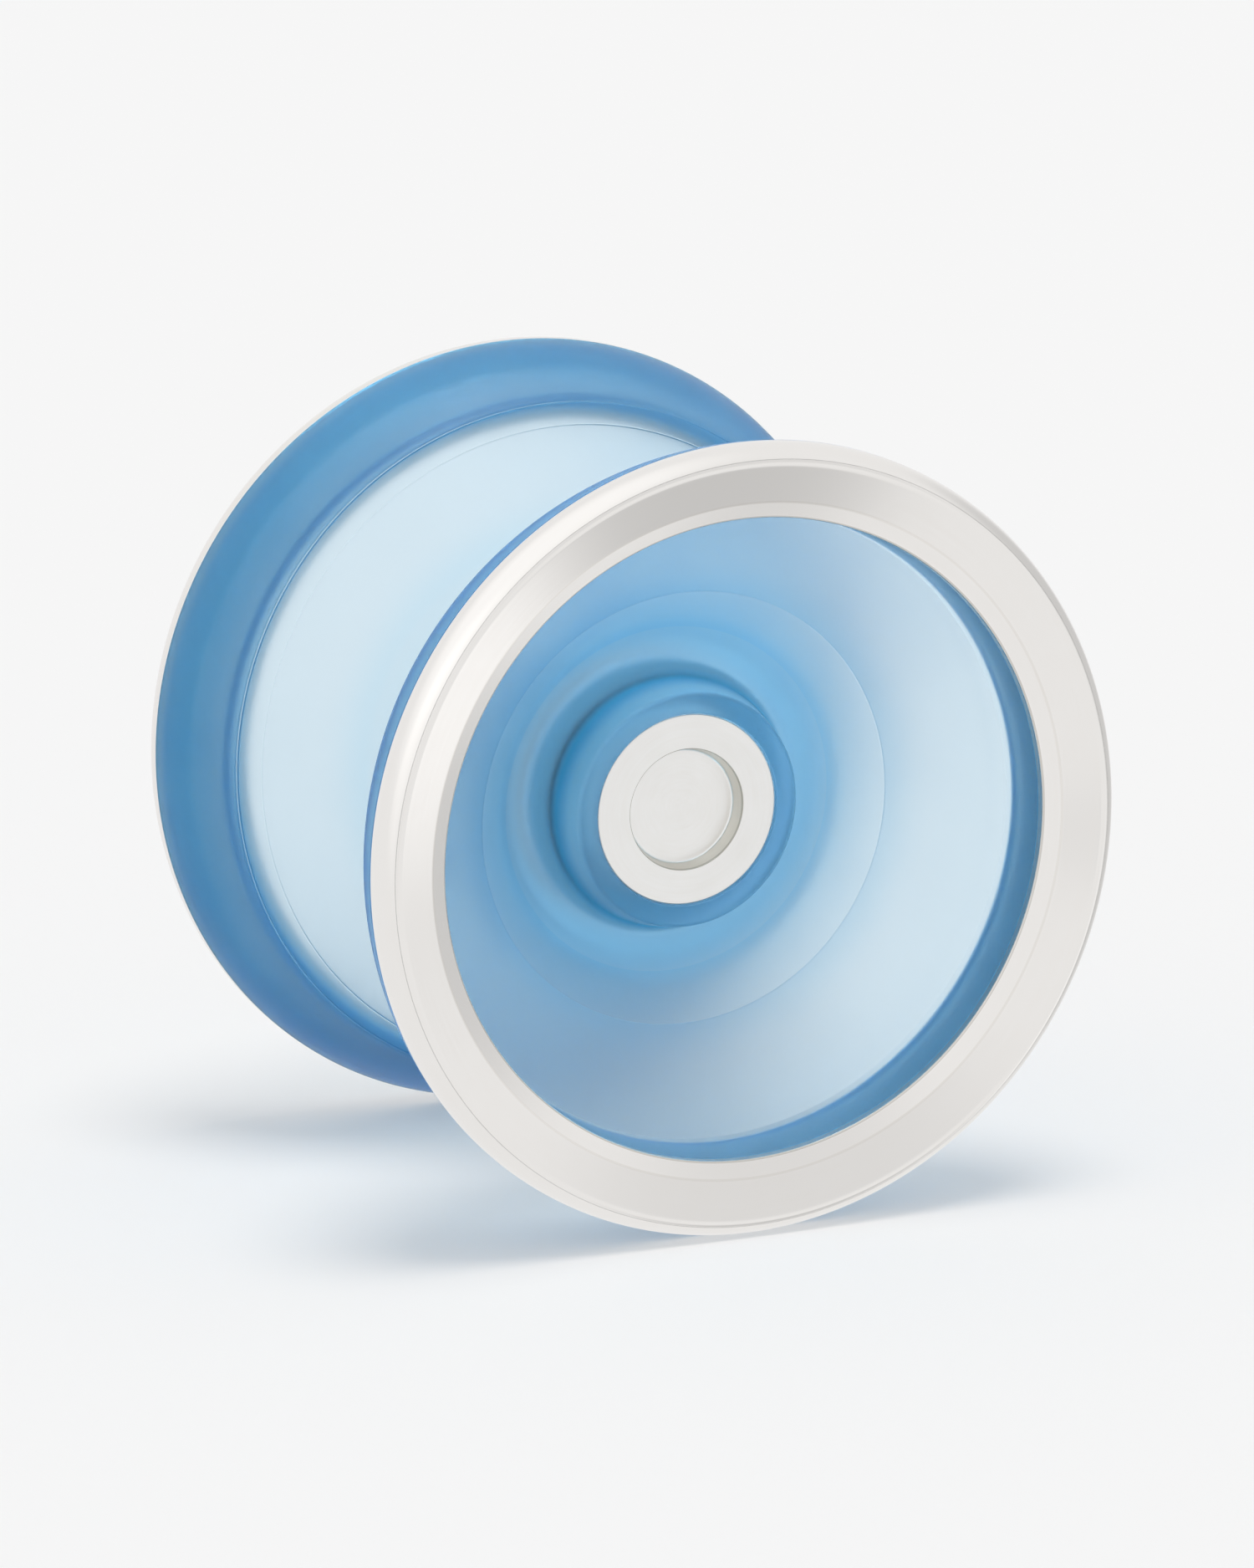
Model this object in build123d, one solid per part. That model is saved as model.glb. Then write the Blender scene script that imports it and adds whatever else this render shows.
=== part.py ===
from build123d import *
import math
import os

# A two-material yo-yo: moulded bodies, metal rim rings and hubs, a ball bearing on a threaded axle.
# Millimetres. The spin axis is Y, the origin is the middle of the yo-yo, +Z is up, and the front half
# is towards -Y. Every half is drawn in its own (radius, height) plane, where height is the distance
# from the middle plane outwards.

# Rim and metal ring
rim_radius = 28.0
part_line = 19.4            # height where the metal ring's head sits on the body
ring_inner_radius = 22.7
ring_land_height = 21.6     # foremost, flat land of the ring: half of the overall width
ring_land_outer = 26.95
ring_land_inner = 26.65
ring_face_inner = 23.95     # the conical face runs in to here
ring_face_drop = 0.9        # how much lower the face is at its inner end
ring_wall_top = 19.9        # top of the ring's plain inner wall
shoulder_radius = 2.0
tongue_inner = 23.1
tongue_outer = 24.1
tongue_end = 15.2
tongue_round = 0.2          # rounding of the tongue's end
tongue_end_room = 0.1       # room under the tongue in its groove
crest_round = 0.6           # where the land turns into the conical face
bevel_round = 0.4           # where the conical face turns into the inner bevel

# Body: string side
gap_half_width = 2.2
gap_flat_radius = 11.2
cone_radius = 23.34
cone_height = 10.92
flank_start_radius = 24.91
flank_start_height = 12.14
pocket_radius = 6.6
pocket_height = 2.55
pad_inner = 7.15
pad_outer = 9.5
pad_depth = 1.2
gap_edge_round = 1.5        # where the catch zone runs into the flat beside the string gap

# Body: cup side
sleeve_radius = 22.43       # the inner sleeve narrows a little from the ring down to the cup's edge
cup_edge_height = 14.96
cup_step_radius = 15.47     # faint turning step in the cup's wall
cup_step_height = 9.77
floor_outer_radius = 12.35
floor_outer_height = 6.5
floor_inner_radius = 9.1
floor_inner_height = 6.75
post_radius = 8.4
post_height = 10.25
post_edge_round = 0.35
post_foot_round = 0.9
floor_edge_round = 1.6      # where the cup's floor turns up into its wall
post_seat_height = 4.2      # shoulder that the hub's flange bears on

# Hub
hub_radius = 6.83
hub_face_height = 10.05
recess_radius = 4.33
recess_depth = 1.15
recess_foot_round = 0.33
recess_edge_round = 0.1
hub_face_round = 0.12
flange_back_round = 0.2
boss_radius = 4.4
seat_radius = 3.165
seat_end = 0.4
seat_end_round = 0.15

# Axle, M4 x 0.7
axle_radius = 1.99
thread_bore_radius = 2.0
thread_bore_end = 7.0
drill_point_angle = 31.0    # slope of the blind bore's end, in degrees
thread_pitch = 0.7
thread_depth = 0.43
ridge_start = 0.10          # one thread ridge's corners, as shares of the pitch
ridge_crest_start = 0.45
ridge_crest_end = 0.60
ridge_end = 0.95
axle_half_length = 6.65
socket_across_flats = 2.0
socket_depth = 1.6

# Size C bearing
bore_radius = 3.175
outer_race_radius = 6.35
bearing_half_width = 2.38
pitch_radius = 4.7625
ball_radius = 0.79375
ball_count = 8
track_radius = 0.82
inner_land = 4.30
outer_land = 5.35
counterbore_radius = 5.70
counterbore_depth = 0.75
snap_groove_radius = 5.86
snap_groove_low = 1.88
snap_groove_high = 2.12
bearing_play = 0.01         # radial play of the shields and snap rings in the outer race
cage_inner = 4.44
cage_outer = 5.20
cage_half_width = 1.15
cage_pocket_radius = 0.86
shield_inner = 4.42
shield_thickness = 0.22
snap_ring_inner = 5.30
snap_ring_wire = 0.20
snap_ring_gap_angle = 24.0

fit_gap = 0.02              # radial play where one fixed piece sits in another
cut_overrun = 0.1           # how far a cut runs past the face that it opens

front = -1
rear = 1


def turned(side, corners, radii):
    """Solid of revolution about Y from a closed outline of (radius, height) corners."""
    points = [(radius, side * height) for radius, height in corners]
    outline = FilletPolyline(*points, radius=radii, close=True)
    return revolve(make_face(outline), axis=Axis.Y)


def band(side, inner, outer, low, high):
    """Plain ring between two radii and two heights."""
    corners = [(inner, low), (outer, low), (outer, high), (inner, high)]
    return turned(side, corners, [0, 0, 0, 0])


def arc_about(side, centre, radius, start, end):
    """Arc about a (radius, height) centre, from one angle to another in degrees above the radial line."""
    points = []
    for angle in (start, (start + end) / 2, end):
        across = centre[0] + radius * math.cos(math.radians(angle))
        up = centre[1] + radius * math.sin(math.radians(angle))
        points.append((across, side * up))
    return ThreePointArc(*points)


def body(side):
    """Moulded shell: catch zone on the string side, cup and post outside, a groove for the ring."""
    corners = [
        (flank_start_radius, flank_start_height),
        (cone_radius, cone_height),
        (gap_flat_radius, gap_half_width),
        (pad_outer, gap_half_width),
        (pad_outer, gap_half_width + pad_depth),
        (pad_inner, gap_half_width + pad_depth),
        (pad_inner, gap_half_width),
        (pocket_radius, gap_half_width),
        (pocket_radius, pocket_height),
        (boss_radius + fit_gap, pocket_height),
        (boss_radius + fit_gap, post_seat_height),
        (hub_radius + fit_gap, post_seat_height),
        (hub_radius + fit_gap, post_height),
        (post_radius, post_height),
        (floor_inner_radius, floor_inner_height),
        (floor_outer_radius, floor_outer_height),
        (cup_step_radius, cup_step_height),
        (sleeve_radius, cup_edge_height),
        (ring_inner_radius, part_line),
        (tongue_inner - fit_gap, part_line),
        (tongue_inner - fit_gap, tongue_end - tongue_end_room),
        (tongue_outer + fit_gap, tongue_end - tongue_end_room),
        (tongue_outer + fit_gap, part_line),
        (rim_radius, part_line),
    ]
    rounds = {
        (gap_flat_radius, gap_half_width): gap_edge_round,
        (post_radius, post_height): post_edge_round,
        (floor_inner_radius, floor_inner_height): post_foot_round,
        (floor_outer_radius, floor_outer_height): floor_edge_round,
    }
    radii = [rounds.get(corner, 0) for corner in corners[1:-1]]
    points = [(radius, side * height) for radius, height in corners]
    inside = FilletPolyline(*points, radius=radii)
    # The flank bulges outwards and meets the part line parallel to the spin axis.
    across = rim_radius - flank_start_radius
    along = part_line - flank_start_height
    bulge = (across ** 2 + along ** 2) / (2 * across)
    start = -math.degrees(math.atan2(along, bulge - across))
    flank = arc_about(side, (rim_radius - bulge, part_line), bulge, start, 0)
    return revolve(make_face([*inside.edges(), flank]), axis=Axis.Y)


def rim_ring(side):
    """Metal weight ring: rounded shoulder, narrow flat land, conical face, inner bevel, tongue."""
    # The shoulder's arc leaves the side wall parallel to the spin axis and ends at the land's edge.
    shoulder_centre = rim_radius - shoulder_radius
    shoulder_end = math.degrees(math.acos((ring_land_outer - shoulder_centre) / shoulder_radius))
    shoulder_rise = shoulder_radius * math.sin(math.radians(shoulder_end))
    wall_top = ring_land_height - shoulder_rise
    shoulder = arc_about(side, (shoulder_centre, wall_top), shoulder_radius, 0, shoulder_end)
    corners = [
        (ring_land_outer, ring_land_height),
        (ring_land_inner, ring_land_height),
        (ring_face_inner, ring_land_height - ring_face_drop),
        (ring_inner_radius, ring_wall_top),
        (ring_inner_radius, part_line),
        (tongue_inner, part_line),
        (tongue_inner, tongue_end),
        (tongue_outer, tongue_end),
        (tongue_outer, part_line),
        (rim_radius, part_line),
        (rim_radius, wall_top),
    ]
    points = [(radius, side * height) for radius, height in corners]
    radii = [0, crest_round, bevel_round, 0, 0, tongue_round, tongue_round, 0, 0]
    inside = FilletPolyline(*points, radius=radii)
    return revolve(make_face([*inside.edges(), shoulder]), axis=Axis.Y)


def hub(side):
    """Metal hub: recessed face in the cup, flange, boss, bearing seat and blind threaded bore."""
    recess_floor = hub_face_height - recess_depth
    drill_point = thread_bore_radius * math.tan(math.radians(drill_point_angle))
    corners = [
        (0, thread_bore_end + drill_point),
        (thread_bore_radius, thread_bore_end),
        (thread_bore_radius, seat_end),
        (seat_radius, seat_end),
        (seat_radius, bearing_half_width),
        (boss_radius, bearing_half_width),
        (boss_radius, post_seat_height),
        (hub_radius, post_seat_height),
        (hub_radius, hub_face_height),
        (recess_radius, hub_face_height),
        (recess_radius, recess_floor),
        (0, recess_floor),
    ]
    rounds = {
        (seat_radius, seat_end): seat_end_round,
        (hub_radius, post_seat_height): flange_back_round,
        (hub_radius, hub_face_height): hub_face_round,
        (recess_radius, hub_face_height): recess_edge_round,
        (recess_radius, recess_floor): recess_foot_round,
    }
    return turned(side, corners, [rounds.get(corner, 0) for corner in corners])


def response_pad(side):
    """Soft ring in the string-side wall that grips the string."""
    return band(
        side,
        pad_inner + fit_gap,
        pad_outer - fit_gap,
        gap_half_width,
        gap_half_width + pad_depth,
    )


def axle():
    """Set screw with thread ridges along its length and a hex socket in its rear end."""
    ridges = int(2 * (axle_half_length - thread_pitch) / thread_pitch)
    start = -ridges * thread_pitch / 2
    root = axle_radius - thread_depth
    points = [(0, -axle_half_length), (root, -axle_half_length)]
    for i in range(ridges):
        low = start + i * thread_pitch
        points.append((root, low + ridge_start * thread_pitch))
        points.append((axle_radius, low + ridge_crest_start * thread_pitch))
        points.append((axle_radius, low + ridge_crest_end * thread_pitch))
        points.append((root, low + ridge_end * thread_pitch))
    points += [(root, axle_half_length), (0, axle_half_length)]
    screw = revolve(make_face(Polyline(*points, close=True)), axis=Axis.Y)
    socket_plane = Plane(origin=(0, axle_half_length - socket_depth, 0), z_dir=(0, 1, 0))
    socket = RegularPolygon(socket_across_flats / 2, 6, major_radius=False)
    return screw - extrude(socket_plane * socket, socket_depth)


def ball_track():
    """Torus that leaves a groove in a race, a little larger than the balls."""
    groove = Pos(pitch_radius, 0) * Circle(track_radius)
    return revolve(groove, axis=Axis.Y)


def inner_race():
    """Race that is clamped between the two hubs."""
    ring = band(rear, bore_radius, inner_land, -bearing_half_width, bearing_half_width)
    return ring - ball_track()


def outer_race():
    """Race that the string wraps round, with a counterbore and a snap-ring groove at each end."""
    ring = band(rear, outer_land, outer_race_radius, -bearing_half_width, bearing_half_width)
    ring -= ball_track()
    inner = outer_land - cut_overrun
    step = bearing_half_width - counterbore_depth
    for side in (front, rear):
        ring -= band(side, inner, counterbore_radius, step, bearing_half_width + cut_overrun)
        ring -= band(side, inner, snap_groove_radius, snap_groove_low, snap_groove_high)
    return ring


def ball_places():
    """Positions of the ball centres round the pitch circle."""
    places = []
    for i in range(ball_count):
        angle = 2 * math.pi * i / ball_count
        places.append(Pos(pitch_radius * math.cos(angle), 0, pitch_radius * math.sin(angle)))
    return places


def balls():
    """All the balls, as separate solids."""
    return Compound([place * Sphere(ball_radius) for place in ball_places()])


def cage():
    """One-piece cage with a round pocket for each ball."""
    ring = band(rear, cage_inner, cage_outer, -cage_half_width, cage_half_width)
    for place in ball_places():
        ring -= place * Sphere(cage_pocket_radius)
    return ring


def shield(side):
    """Thin cover ring on the outer race's counterbore step."""
    step = bearing_half_width - counterbore_depth
    outer = counterbore_radius - bearing_play
    return band(side, shield_inner, outer, step, step + shield_thickness)


def snap_ring(side):
    """Open wire ring that holds the shield in place."""
    low = (snap_groove_low + snap_groove_high - snap_ring_wire) / 2
    outer = snap_groove_radius - bearing_play
    ring = band(side, snap_ring_inner, outer, low, low + snap_ring_wire)
    gap = snap_groove_radius * math.radians(snap_ring_gap_angle)
    height = side * (low + snap_ring_wire / 2)
    slot = Box(gap, 2 * snap_ring_wire, 4 * (snap_groove_radius - snap_ring_inner))
    return ring - Pos(0, height, snap_groove_radius) * slot


def write_parts():
    """Write each sub-part to its own STEP file."""
    os.makedirs("parts", exist_ok=True)
    nodes = {
        "axle": axle(),
        "bearing_inner_race": inner_race(),
        "bearing_outer_race": outer_race(),
        "bearing_balls": balls(),
        "bearing_cage": cage(),
    }
    for name, side in (("front", front), ("rear", rear)):
        nodes[name + "_body"] = body(side)
        nodes[name + "_rim_ring"] = rim_ring(side)
        nodes[name + "_hub"] = hub(side)
        nodes[name + "_response_pad"] = response_pad(side)
        nodes[name + "_bearing_shield"] = shield(side)
        nodes[name + "_snap_ring"] = snap_ring(side)
    for name, shape in nodes.items():
        export_step(shape, os.path.join("parts", name + ".step"))
        print(name, round(shape.volume, 2))


write_parts()
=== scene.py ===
import bpy
import numpy as np
from mathutils import Matrix, Vector


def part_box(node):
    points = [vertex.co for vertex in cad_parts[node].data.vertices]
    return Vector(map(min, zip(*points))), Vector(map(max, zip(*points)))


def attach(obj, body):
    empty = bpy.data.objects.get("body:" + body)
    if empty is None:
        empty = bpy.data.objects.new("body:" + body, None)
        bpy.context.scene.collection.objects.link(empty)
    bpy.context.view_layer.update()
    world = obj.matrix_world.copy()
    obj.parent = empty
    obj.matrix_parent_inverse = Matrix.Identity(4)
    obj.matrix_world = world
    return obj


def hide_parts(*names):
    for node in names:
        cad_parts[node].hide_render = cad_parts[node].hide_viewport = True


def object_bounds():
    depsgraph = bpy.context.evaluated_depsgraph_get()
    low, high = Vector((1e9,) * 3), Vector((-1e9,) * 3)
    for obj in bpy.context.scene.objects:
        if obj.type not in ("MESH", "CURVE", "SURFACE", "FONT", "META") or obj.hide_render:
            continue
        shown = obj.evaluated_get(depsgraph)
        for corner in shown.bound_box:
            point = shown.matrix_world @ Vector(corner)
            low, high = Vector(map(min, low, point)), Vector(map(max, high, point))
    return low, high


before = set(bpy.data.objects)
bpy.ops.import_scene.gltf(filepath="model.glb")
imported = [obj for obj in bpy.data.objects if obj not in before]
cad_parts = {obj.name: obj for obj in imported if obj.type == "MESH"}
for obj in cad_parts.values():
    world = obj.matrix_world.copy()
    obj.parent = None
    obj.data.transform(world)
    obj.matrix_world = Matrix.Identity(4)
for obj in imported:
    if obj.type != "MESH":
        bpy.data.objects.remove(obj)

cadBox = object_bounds()
mm = 0.001
onAxis = 1e-9                         # in metres; a row of points nearer to the axis is one point
sides = {"front": -1.0, "rear": 1.0}  # the front half is towards -Y
print("frame loaded:", len(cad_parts), "nodes")


# Rounds an open outline. At a corner with radius q, the arc starts q / tan(half the corner's angle)
# before the corner, ends as far after it, and has its centre q / sin(half the angle) away on the
# bisector. Straight runs get points that crowd towards their ends at half of 1 - cos(pi t), so that
# smooth shading stays true on flat faces.
def roundedOutline(corners, radii, arcSteps=9, runSteps=6):
    p = np.asarray(corners, float)
    q = np.asarray(radii, float)
    step = np.diff(p, axis=0)
    ahead = step / np.linalg.norm(step, axis=1)[:, None]
    forward, backward = ahead[1:], -ahead[:-1]
    half = 0.5 * np.arccos(np.clip((forward * backward).sum(1), -1.0, 1.0))
    trim = (q / np.tan(half))[:, None]
    first, last = p[1:-1] + backward * trim, p[1:-1] + forward * trim
    bisector = forward + backward
    bisector /= np.linalg.norm(bisector, axis=1)[:, None]
    centre = p[1:-1] + bisector * (q / np.sin(half))[:, None]
    a = np.arctan2(*(first - centre).T[::-1])
    b = np.arctan2(*(last - centre).T[::-1])
    sweep = (b - a + np.pi) % (2 * np.pi) - np.pi
    t = np.linspace(0.0, 1.0, arcSteps)
    turn = a[:, None] + sweep[:, None] * t
    arcs = centre[:, None] + q[:, None, None] * np.stack([np.cos(turn), np.sin(turn)], -1)
    s = 0.5 - 0.5 * np.cos(np.pi * np.linspace(0.0, 1.0, runSteps + 2)[1:-1])
    starts = np.vstack([p[:1], last])
    ends = np.vstack([first, p[-1:]])
    runs = starts[:, None] + (ends - starts)[:, None] * s[None, :, None]
    middle = np.concatenate([arcs, runs[1:]], 1).reshape(-1, 2)
    return np.vstack([p[:1], runs[0], middle, p[-1:]])


# Points on an arc about a centre: centre + radius * (cos, sin) of evenly spaced angles.
def arcPoints(centre, radius, start, end, steps):
    turn = np.radians(np.linspace(start, end, steps))
    return np.asarray(centre, float) + radius * np.stack([np.cos(turn), np.sin(turn)], -1)


# Puts arrays of points and four-sided faces into a mesh. A face that names one point twice becomes a
# triangle. If the volume that the faces enclose, the sum of p0 . (p1 x p2) / 6 over their triangles,
# is negative, they are all turned over.
def meshFromArrays(name, points, quads):
    keep = quads != np.roll(quads, -1, 1)
    totals = keep.sum(1)
    good = totals > 2
    quads, keep, totals = quads[good], keep[good], totals[good]
    used, loops = np.unique(quads[keep], return_inverse=True)
    points = points[used]
    starts = np.concatenate([[0], np.cumsum(totals)[:-1]])
    p0, p1, p2 = points[loops[starts]], points[loops[starts + 1]], points[loops[starts + 2]]
    third = np.where(totals > 3, starts + 3, starts + 2)
    p3 = points[loops[third]]
    volume = (p0 * np.cross(p1, p2)).sum() + (p0 * np.cross(p2, p3)).sum()
    if volume < 0:
        owner = np.repeat(np.arange(len(totals)), totals)
        place = np.arange(len(loops)) - starts[owner]
        loops = loops[starts[owner] + totals[owner] - 1 - place]
    mesh = bpy.data.meshes.new(name)
    mesh.vertices.add(len(points))
    mesh.vertices.foreach_set("co", points.astype(np.float32).ravel())
    mesh.loops.add(len(loops))
    mesh.loops.foreach_set("vertex_index", loops.astype(np.int32))
    mesh.polygons.add(len(totals))
    mesh.polygons.foreach_set("loop_start", starts.astype(np.int32))
    mesh.polygons.foreach_set("use_smooth", np.ones(len(totals), bool))
    mesh.update(calc_edges=True)
    mesh.validate()
    return mesh


# Four-sided faces between neighbouring rows and columns of a grid of point numbers.
def gridQuads(index, closedRows, closedColumns):
    down = np.roll(index, -1, 0)
    right = np.roll(index, -1, 1)
    both = np.roll(down, -1, 1)
    quads = np.stack([index, right, both, down], -1)
    rows = slice(None) if closedRows else slice(0, -1)
    columns = slice(None) if closedColumns else slice(0, -1)
    return quads[rows, columns].reshape(-1, 4)


# A surface given as one row of points for each step along a profile, every row going once round the
# spin axis. A row that has shrunk to the axis becomes a single point.
def wrappedMesh(name, x, y, z, closed):
    points = np.stack([x, y, z], -1)
    index = np.arange(x.size).reshape(x.shape)
    pole = np.hypot(x, z).max(1) < onAxis
    index[pole] = index[pole][:, :1]
    return meshFromArrays(name, points.reshape(-1, 3), gridQuads(index, closed, True))


# A turned surface: the outline's (radius, height) carried round the Y axis, as
# (radius * cos, side * height, radius * sin) of the angle, where the side is -1 or 1.
def turnedMesh(name, outline, side, segments, closed=True):
    radius, height = outline.T[:, :, None] * mm
    angle = 2 * np.pi * np.arange(segments) / segments
    x, y, z = radius * np.cos(angle), side * height + 0 * angle, radius * np.sin(angle)
    return wrappedMesh(name, x, y, z, closed)


# A list of corners, each a place and its rounding, as two lists.
def splitCorners(corners):
    return [place for place, radius in corners], [radius for place, radius in corners]


# Rounds a closed outline, which starts and ends halfway between its last corner and its first.
def closedOutline(corners):
    places, radii = splitCorners(corners)
    middle = tuple((np.array(places[0]) + np.array(places[-1])) / 2)
    return roundedOutline([middle] + places + [middle], radii)[:-1]


def addPiece(name, mesh, material, body, cadNode):
    piece = bpy.data.objects.new(name, mesh)
    bpy.context.scene.collection.objects.link(piece)
    mesh.materials.append(material)
    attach(piece, body)
    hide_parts(cadNode)
    return piece


def newMaterial(name):
    material = bpy.data.materials.new(name)
    material.use_nodes = True
    material.node_tree.nodes.clear()
    return material, material.node_tree


# A shader node with its settings and inputs. An input is named, or is i0, i1 and so on by its number.
def node(tree, kind, settings=None, **inputs):
    made = tree.nodes.new(kind)
    for key, value in (settings or {}).items():
        setattr(made, key, value)
    for key, value in inputs.items():
        numbered = key[0] == "i" and key[1:].isdigit()
        socket = made.inputs[int(key[1:]) if numbered else key.replace("_", " ")]
        if isinstance(value, bpy.types.NodeSocket):
            tree.links.new(value, socket)
        else:
            socket.default_value = value
    return made


def shaderOutput(tree, surface, volume=None):
    out = tree.nodes.new("ShaderNodeOutputMaterial")
    tree.links.new(surface, out.inputs["Surface"])
    if volume is not None:
        tree.links.new(volume, out.inputs["Volume"])


def objectPlace(tree):
    return tree.nodes.new("ShaderNodeTexCoord").outputs["Object"]


def noise(tree, place, scale, detail):
    return node(tree, "ShaderNodeTexNoise", Vector=place, Scale=scale, Detail=detail)


def mapRange(tree, value, fromLow, fromHigh, toLow, toHigh):
    made = node(tree, "ShaderNodeMapRange", i0=value, i1=fromLow, i2=fromHigh, i3=toLow, i4=toHigh)
    return made.outputs["Result"]


def maths(tree, operation, a, b=0.0):
    return node(tree, "ShaderNodeMath", {"operation": operation}, i0=a, i1=b).outputs[0]


# Distance of a point from the Y axis.
def axisDistance(tree, place):
    flat = node(tree, "ShaderNodeVectorMath", {"operation": "MULTIPLY"}, i0=place, i1=(1.0, 0.0, 1.0))
    length = node(tree, "ShaderNodeVectorMath", {"operation": "LENGTH"}, i0=flat.outputs[0])
    return length.outputs["Value"]


# Smooth step of a length from 0 at one limit to 1 at the other, both in millimetres.
def fade(tree, value, zeroAt, oneAt):
    made = node(tree, "ShaderNodeMapRange", {"interpolation_type": "SMOOTHSTEP"},
                i0=value, i1=zeroAt * mm, i2=oneAt * mm)
    return made.outputs["Result"]


# These two masks are 1 above and below a limit in millimetres.
def above(tree, value, limit):
    return maths(tree, "GREATER_THAN", value, limit * mm)


def below(tree, value, limit):
    return maths(tree, "LESS_THAN", value, limit * mm)


def allOf(tree, *masks):
    joined = masks[0]
    for mask in masks[1:]:
        joined = maths(tree, "MULTIPLY", joined, mask)
    return joined


# Multiplies a colour by a tint where the mask is 1.
def tinted(tree, mask, colour, tint):
    mix = node(tree, "ShaderNodeMix", {"data_type": "RGBA", "blend_type": "MULTIPLY"}, i0=mask)
    if isinstance(colour, bpy.types.NodeSocket):
        tree.links.new(colour, mix.inputs[6])
    else:
        mix.inputs[6].default_value = colour
    mix.inputs[7].default_value = tint
    return mix.outputs[2]


plastic = {
    "ior": 1.40,
    "roughness": (0.46, 0.56),
    "cloudScale": 180.0,
    "cloudSpread": (0.3, 0.7),
    "absorbColour": (0.12, 0.69, 0.985, 1.0),
    "absorbDensity": 82.0,
    "grainScale": 9000.0,
    "grainStrength": 0.5,
    "grainHeight": 0.000008,
    "clear": (1.0, 1.0, 1.0, 1.0),
    # painted shade: a deeper blue where the body bears on the ring
    "rimShadeTint": (0.24, 0.70, 0.95, 1.0),        # where the body bears on the ring
    "seatMargin": 0.05,
    "slotMargin": 0.2,                          # how far beyond the tongue's end its slot is tinted
    "lineFade": (27.6, 26.6),                   # none and full, by radius, under the ring's head
    # painted shade: a deeper blue where the body bears on the pad
    "padShadeTint": (0.60, 0.90, 1.0, 1.0),
    "padSeatMargin": 0.1,
    # painted shade: a deeper blue in the cup's floor round the post
    "coreShadeTint": (0.74, 0.92, 1.0, 1.0),
    "coreFade": (8.6, 11.0, 12.5, 17.5),        # none, full, full and none again, by radius
    # painted shade: a deeper blue at the foot of the post
    "footShadeTint": (0.12, 0.74, 1.0, 1.0),
    "footFade": (8.9, 9.5),                     # full and none, by radius
    "footRise": (5.0, 6.3, 7.6, 9.4),           # none, full, full and none again, by height
    # painted shade: two soft darker bands in the cup
    "shadeBands": (                                  # sharp inner and soft outer radius, height, tint
        (12.4, 13.8, 5.8, (0.80, 0.94, 1.0, 1.0)),
        (15.5, 18.4, 8.4, (0.84, 0.95, 1.0, 1.0)),
    ),
    "bandEdge": 0.06,
    "bandRise": 0.4,
}


# The plastic's base colour is clear, with painted shade: a deeper blue where it bears on the ring and
# on the pad, in its core, at the foot of the post and in two bands of the cup. Each mask is a product
# of steps, sharp or smooth, of the radius r and of the height y from the middle plane.
def bodyShadeTint(tree, place):
    r = axisDistance(tree, place)
    y = maths(tree, "ABSOLUTE", node(tree, "ShaderNodeSeparateXYZ", Vector=place).outputs["Y"])
    slotInner, slotOuter = bodyShape["tongueSlot"][:2]
    margin = plastic["seatMargin"]
    inSlot = allOf(
        tree, above(tree, r, slotInner - margin), below(tree, r, slotOuter + margin),
        above(tree, y, tongueEnd - plastic["slotMargin"]))
    onLine = allOf(tree, above(tree, y, partLine - margin), fade(tree, r, *plastic["lineFade"]))
    # Painted shade of the rim: a deeper blue where the plastic bears on the ring.
    rimShade = maths(tree, "MAXIMUM", inSlot, onLine)
    colour = tinted(tree, rimShade, plastic["clear"], plastic["rimShadeTint"])
    padInner, padOuter, padDepth = bodyShape["padGroove"]
    margin = plastic["padSeatMargin"]
    # Painted shade: a deeper blue where the plastic bears on the pad.
    padShade = allOf(
        tree, fade(tree, r, padInner - margin, padInner), fade(tree, r, padOuter + margin, padOuter),
        above(tree, y, gapHalf + margin), below(tree, y, gapHalf + padDepth + margin))
    colour = tinted(tree, padShade, colour, plastic["padShadeTint"])
    innerNone, innerFull, outerFull, outerNone = plastic["coreFade"]
    # Painted shade: a deeper blue in the cup's floor round the post.
    coreShade = allOf(tree, fade(tree, r, outerNone, outerFull), fade(tree, r, innerNone, innerFull))
    colour = tinted(tree, coreShade, colour, plastic["coreShadeTint"])
    # Painted shade: two soft darker bands in the cup.
    for inner, outer, lowest, tint in plastic["shadeBands"]:
        shadeBand = allOf(
            tree, fade(tree, r, inner - plastic["bandEdge"], inner), fade(tree, r, outer, inner),
            fade(tree, y, lowest, lowest + plastic["bandRise"]))
        colour = tinted(tree, shadeBand, colour, tint)
    full, none = plastic["footFade"]
    lowNone, lowFull, highFull, highNone = plastic["footRise"]
    # Painted shade: a deeper blue at the foot of the post.
    footShade = allOf(
        tree, fade(tree, r, none, full), fade(tree, y, highNone, highFull),
        fade(tree, y, lowNone, lowFull))
    return tinted(tree, footShade, colour, plastic["footShadeTint"])


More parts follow.
